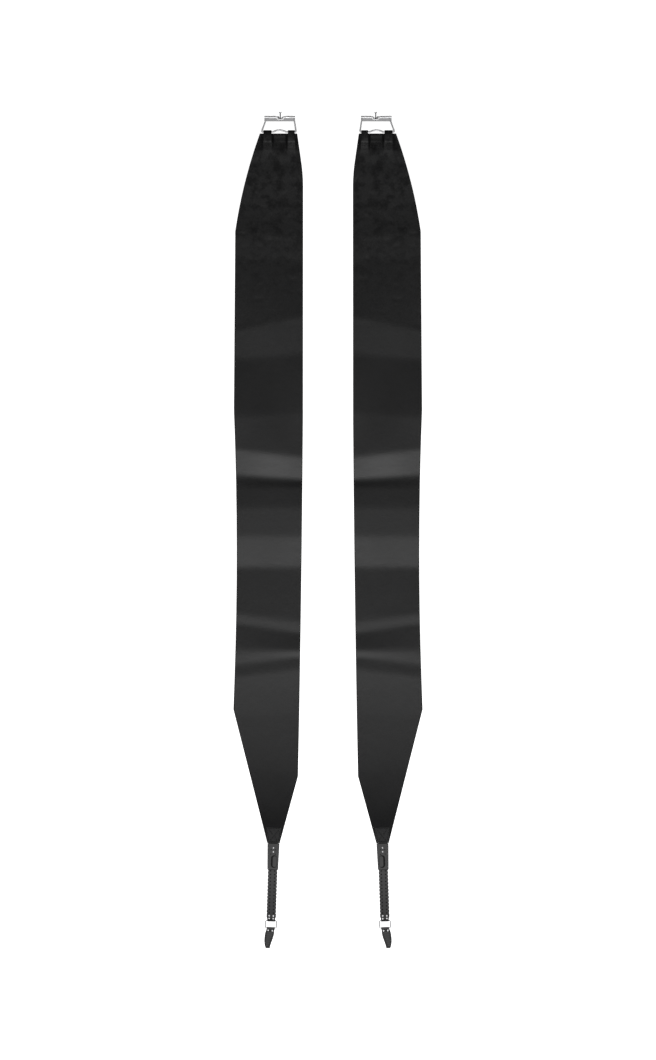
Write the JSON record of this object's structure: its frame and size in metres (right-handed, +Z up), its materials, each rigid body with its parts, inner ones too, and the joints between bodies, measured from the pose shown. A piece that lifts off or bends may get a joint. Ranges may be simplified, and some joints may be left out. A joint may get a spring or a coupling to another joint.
{
  "type": "climbing skins",
  "caption": "Pair of wide adhesive climbing skins with nylon plush, wire tip bails, and riveted ladder tail straps that end in a ring and a ribbed pull tab.",
  "frame": {"origin": "on the ground under the middle of the pair's bounding box", "axes": "+Y along the skins towards the tips, +X towards the right skin, +Z up out of the plush"},
  "size_m": [0.3786, 1.6726, 0.0075],
  "materials": {
    "plush": "short nylon pile, satin sheen along its nap",
    "glue": "tacky satin adhesive",
    "webbing": "woven webbing, matte",
    "thread": "bonded thread, slight sheen",
    "steel": "satin stainless",
    "keeper": "moulded, fine texture",
    "strap": "moulded elastomer, satin"
  },
  "bodies": {
    "left_rear": {"left_rear_plush": "plush", "left_rear_glue": "glue", "left_tail_patch": "webbing", "left_patch_stitching": "thread"},
    "left_front": {"left_front_plush": "plush", "left_front_glue": "glue", "left_tip_stitching": "thread"},
    "left_bail": {"left_bail_wire": "steel", "left_bail_plate": "steel", "left_tip_hook": "steel"},
    "left_tail": {"left_tail_tongue": "webbing", "left_tail_keeper": "keeper", "left_keeper_rivets": "steel"},
    "left_lock": {"left_lock_tongue": "keeper"},
    "left_strap": {"left_ladder_strap": "strap", "left_strap_rivets": "steel"},
    "left_ring": {"left_tail_ring": "steel"},
    "left_tab": {"left_pull_tab": "strap", "left_tab_rivets": "steel"},
    "right_rear": {"right_rear_plush": "plush", "right_rear_glue": "glue", "right_tail_patch": "webbing", "right_patch_stitching": "thread"},
    "right_front": {"right_front_plush": "plush", "right_front_glue": "glue", "right_tip_stitching": "thread"},
    "right_bail": {"right_bail_wire": "steel", "right_bail_plate": "steel", "right_tip_hook": "steel"},
    "right_tail": {"right_tail_tongue": "webbing", "right_tail_keeper": "keeper", "right_keeper_rivets": "steel"},
    "right_lock": {"right_lock_tongue": "keeper"},
    "right_strap": {"right_ladder_strap": "strap", "right_strap_rivets": "steel"},
    "right_ring": {"right_tail_ring": "steel"},
    "right_tab": {"right_pull_tab": "strap", "right_tab_rivets": "steel"}
  },
  "joints": [
    {"name": "pair_lift", "type": "slide", "parent": "left_rear", "child": "right_rear", "axis": [0, 0, 1], "range_m": [0, 0.3]},
    {"name": "left_skin_fold", "type": "hinge", "parent": "left_rear", "child": "left_front", "pos_m": [-0.118, 0.0935, -0.00015], "axis": [-1, 0, 0], "range_deg": [0, 179.9]},
    {"name": "left_bail_swing", "type": "hinge", "parent": "left_front", "child": "left_bail", "pos_m": [-0.0966, 0.79575, 0.00375], "axis": [1, 0, 0], "range_deg": [-110, 110]},
    {"name": "left_tail_flex", "type": "hinge", "parent": "left_rear", "child": "left_tail", "pos_m": [-0.1089, -0.6265, -0.00015], "axis": [-0.9995, 0.0314, 0], "range_deg": [-150, 0]},
    {"name": "left_strap_slide", "type": "slide", "parent": "left_tail", "child": "left_strap", "axis": [-0.0314, -0.9995, 0], "range_m": [0, 0.014]},
    {"name": "left_lock_lift", "type": "hinge", "parent": "left_tail", "child": "left_lock", "pos_m": [-0.10626, -0.6522, 0.0042], "axis": [-0.9995, 0.0314, 0], "range_deg": [0, 15], "stiffness_Nm_per_rad": 0.05},
    {"name": "left_ring_swing", "type": "hinge", "parent": "left_strap", "child": "left_ring", "pos_m": [-0.11375, -0.78082, 0.0022], "axis": [-0.9995, 0.0314, 0], "range_deg": [-120, 120]},
    {"name": "left_tab_swing", "type": "hinge", "parent": "left_ring", "child": "left_tab", "pos_m": [-0.11423, -0.79602, 0.0022], "axis": [0.9995, -0.0314, 0], "range_deg": [-120, 120]},
    {"name": "right_skin_fold", "type": "hinge", "parent": "right_rear", "child": "right_front", "pos_m": [0.118, 0.0935, -0.00015], "axis": [-1, 0, 0], "range_deg": [0, 179.9]},
    {"name": "right_bail_swing", "type": "hinge", "parent": "right_front", "child": "right_bail", "pos_m": [0.0966, 0.79575, 0.00375], "axis": [1, 0, 0], "range_deg": [-110, 110]},
    {"name": "right_tail_flex", "type": "hinge", "parent": "right_rear", "child": "right_tail", "pos_m": [0.1089, -0.6265, -0.00015], "axis": [-0.9995, -0.0314, 0], "range_deg": [-150, 0]},
    {"name": "right_strap_slide", "type": "slide", "parent": "right_tail", "child": "right_strap", "axis": [0.0314, -0.9995, 0], "range_m": [0, 0.014]},
    {"name": "right_lock_lift", "type": "hinge", "parent": "right_tail", "child": "right_lock", "pos_m": [0.10626, -0.6522, 0.0042], "axis": [-0.9995, -0.0314, 0], "range_deg": [0, 15], "stiffness_Nm_per_rad": 0.05},
    {"name": "right_ring_swing", "type": "hinge", "parent": "right_strap", "child": "right_ring", "pos_m": [0.11375, -0.78082, 0.0022], "axis": [-0.9995, -0.0314, 0], "range_deg": [-120, 120]},
    {"name": "right_tab_swing", "type": "hinge", "parent": "right_ring", "child": "right_tab", "pos_m": [0.11423, -0.79602, 0.0022], "axis": [0.9995, 0.0314, 0], "range_deg": [-120, 120]}
  ]
}
